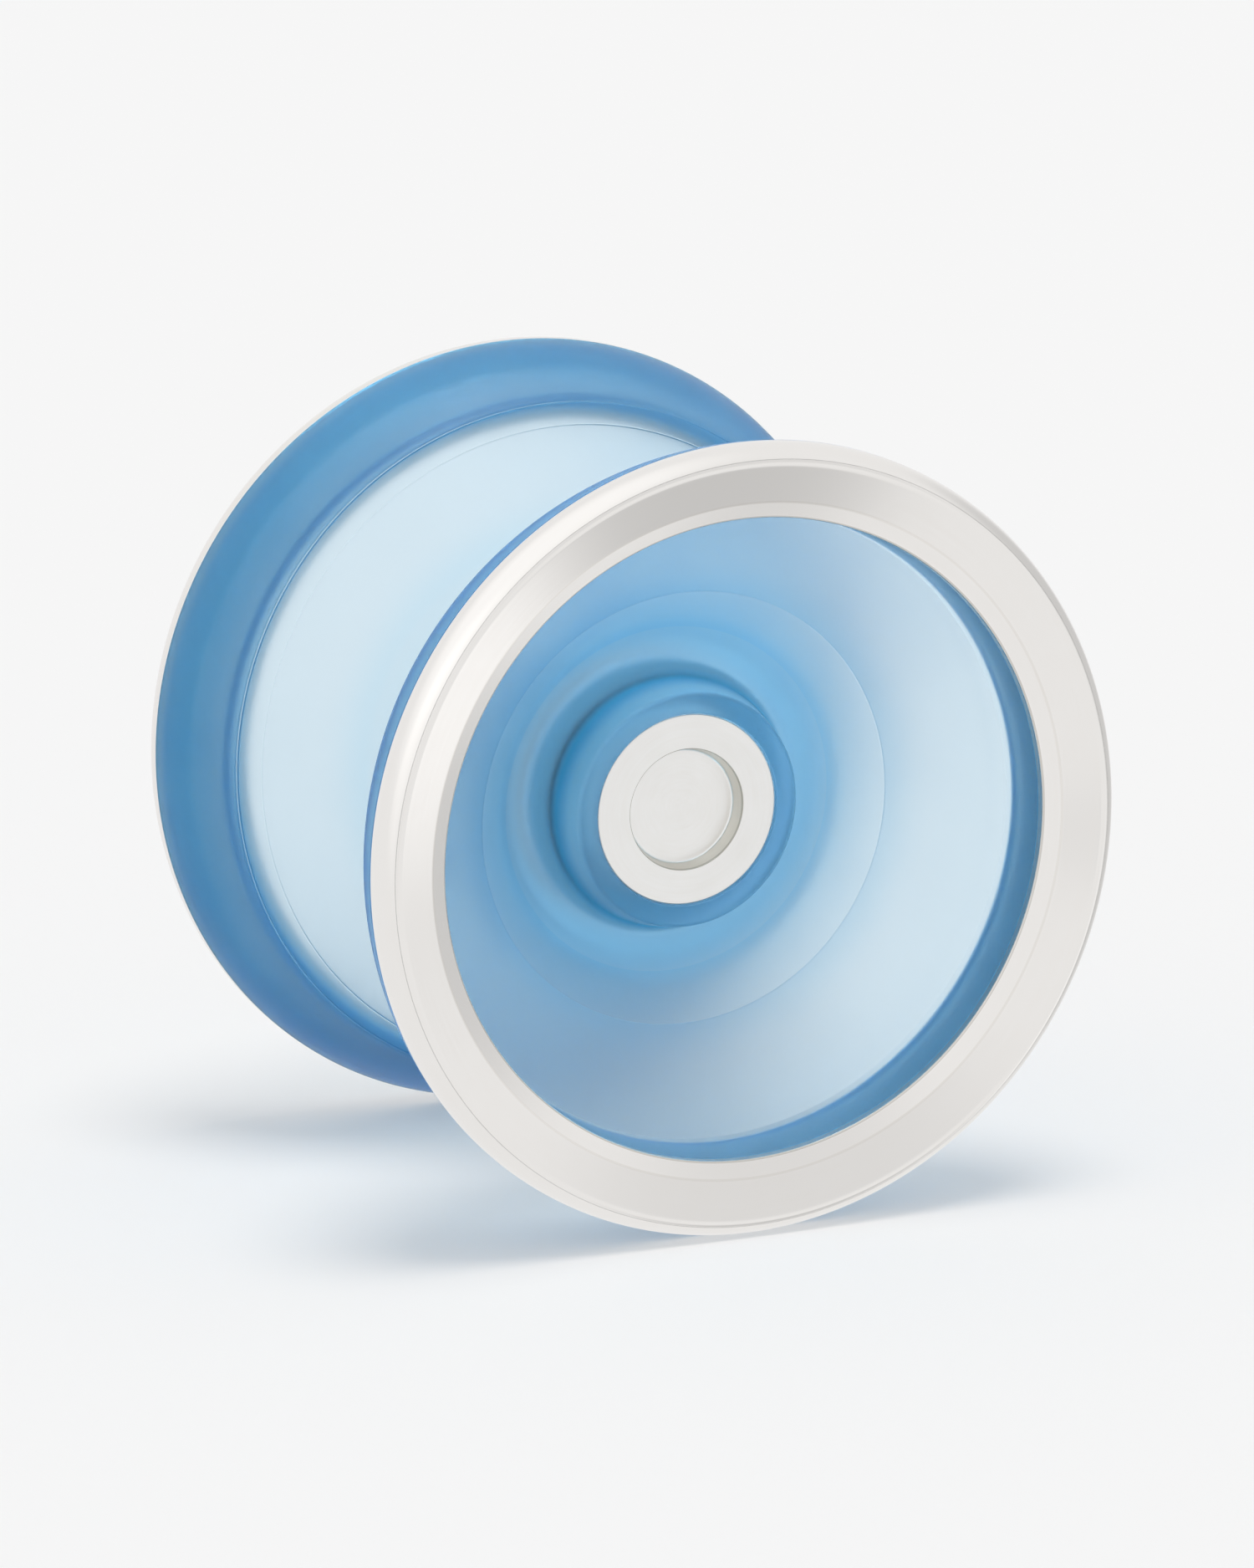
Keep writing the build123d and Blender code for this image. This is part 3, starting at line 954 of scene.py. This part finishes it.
studio = {
    "room": 0.88,             # what reflections see before the lobes are added
    "roomForPaper": 0.575,
    "seenBehind": 0.915,      # what the camera sees beyond the floor
    "throughPlastic": 0.82,
    "softboxes": (            # direction, inner and outer angle in degrees, strength
        ((-0.50, -0.15, 0.82), 24.0, 58.0, 0.16),
        ((-0.80, -0.50, 0.30), 10.0, 34.0, 0.12),
        ((0.80, -0.42, -0.46), 3.0, 16.0, 0.17),
        ((0.46, -0.53, -0.70), 4.0, 20.0, -0.28),
        ((0.35, -0.86, 0.38), 10.0, 30.0, -0.12),
        ((0.95, 0.12, -0.05), 20.0, 42.0, -0.24),
        ((-0.14, -0.96, -0.20), 1.0, 6.0, -0.10),
    ),
}


# A room of even light, with soft lobes that only reflections see. Each lobe adds its strength, which
# may be negative, inside its inner angle from a direction, and fades smoothly to nothing at its outer
# angle.
def makeWorld():
    world = bpy.data.worlds.new("studio")
    bpy.context.scene.world = world
    world.use_nodes = True
    tree = world.node_tree
    tree.nodes.clear()
    direction = tree.nodes.new("ShaderNodeTexCoord").outputs["Generated"]
    strength = studio["room"]
    for towards, inner, outer, amount in studio["softboxes"]:
        aim = Vector(towards).normalized()
        across = node(tree, "ShaderNodeVectorMath", {"operation": "DOT_PRODUCT"}, i0=direction, i1=aim)
        none, full = (float(np.cos(np.radians(angle))) for angle in (outer, inner))
        lobe = node(
            tree, "ShaderNodeMapRange", {"interpolation_type": "SMOOTHSTEP"},
            i0=across.outputs["Value"], i1=none, i2=full, i3=0.0, i4=amount)
        strength = maths(tree, "ADD", lobe.outputs["Result"], strength)
    path = tree.nodes.new("ShaderNodeLightPath")
    white = (1.0, 1.0, 1.0, 1.0)
    mirrored = node(tree, "ShaderNodeBackground", Color=white, Strength=strength)
    even = node(tree, "ShaderNodeBackground", Color=white, Strength=studio["throughPlastic"])
    dim = node(tree, "ShaderNodeBackground", Color=white, Strength=studio["roomForPaper"])
    seen = node(tree, "ShaderNodeBackground", Color=white, Strength=studio["seenBehind"])
    shown = mirrored.outputs[0]
    others = {"Is Transmission Ray": even, "Is Diffuse Ray": dim, "Is Camera Ray": seen}
    for kind, light in others.items():
        mix = node(tree, "ShaderNodeMixShader", i0=path.outputs[kind], i1=shown, i2=light.outputs[0])
        shown = mix.outputs[0]
    out = tree.nodes.new("ShaderNodeOutputWorld")
    tree.links.new(shown, out.inputs["Surface"])


# Two distant lamps that leave the metal to the room. The key shapes the floor's shadow, and the
# backlight shines through the plastic.
lamps = {
    "key": {
        "strength": 1.40,
        "angle": 28.0,
        "from": (0.03, -0.15, 0.98),
        "colour": (1.0, 1.0, 1.0),
        "diffuse": True,
    },
    "backlight": {
        "strength": 1.0,
        "angle": 70.0,
        "from": (0.92, 0.10, 0.30),
        "colour": (0.72, 0.92, 1.0),
        "diffuse": False,
    },
}


def makeLamps():
    for name, look in lamps.items():
        data = bpy.data.lights.new(name, "SUN")
        data.energy = look["strength"]
        data.color = look["colour"]
        data.angle = np.radians(look["angle"])
        lamp = bpy.data.objects.new(name, data)
        lamp.visible_glossy = False
        lamp.visible_diffuse = look["diffuse"]
        bpy.context.scene.collection.objects.link(lamp)
        towards = Vector(look["from"]).normalized()
        lamp.matrix_world = towards.to_track_quat("Z", "Y").to_matrix().to_4x4()


# Light turns many times inside thick frosted plastic, whose depths go grey if its paths are cut short.
lightPaths = {"max_bounces": 36, "glossy_bounces": 24, "transmission_bounces": 32}

cameraView = {
    "azimuth": -24.61,
    "elevation": 13.88,
    "distance": 0.7082,      # metres, as are right and up
    "lens": 230.4,
    "sensor": 36.0,
    "clip": (0.01, 200.0),
    "right": 0.000023,
    "up": -0.000418,
}


# The camera looks from its azimuth and elevation towards the origin, then moves a little to its own
# right and up.
def makeCamera():
    a, e = np.radians(cameraView["azimuth"]), np.radians(cameraView["elevation"])
    back = Vector((np.sin(a) * np.cos(e), -np.cos(a) * np.cos(e), np.sin(e)))
    right = Vector((np.cos(a), np.sin(a), 0.0))
    up = back.cross(right)
    place = back * cameraView["distance"] + right * cameraView["right"] + up * cameraView["up"]
    data = bpy.data.cameras.new("camera")
    data.lens = cameraView["lens"]
    data.sensor_width = cameraView["sensor"]
    data.clip_start, data.clip_end = cameraView["clip"]
    camera = bpy.data.objects.new("camera", data)
    bpy.context.scene.collection.objects.link(camera)
    rotation = Matrix((right, up, back)).transposed().to_4x4()
    camera.matrix_world = Matrix.Translation(place) @ rotation
    bpy.context.scene.camera = camera


makeFloor()
makeWorld()
makeLamps()
makeCamera()
bpy.context.scene.view_settings.view_transform = "Standard"
for kind, limit in lightPaths.items():
    setattr(bpy.context.scene.cycles, kind, limit)
print("stage made")
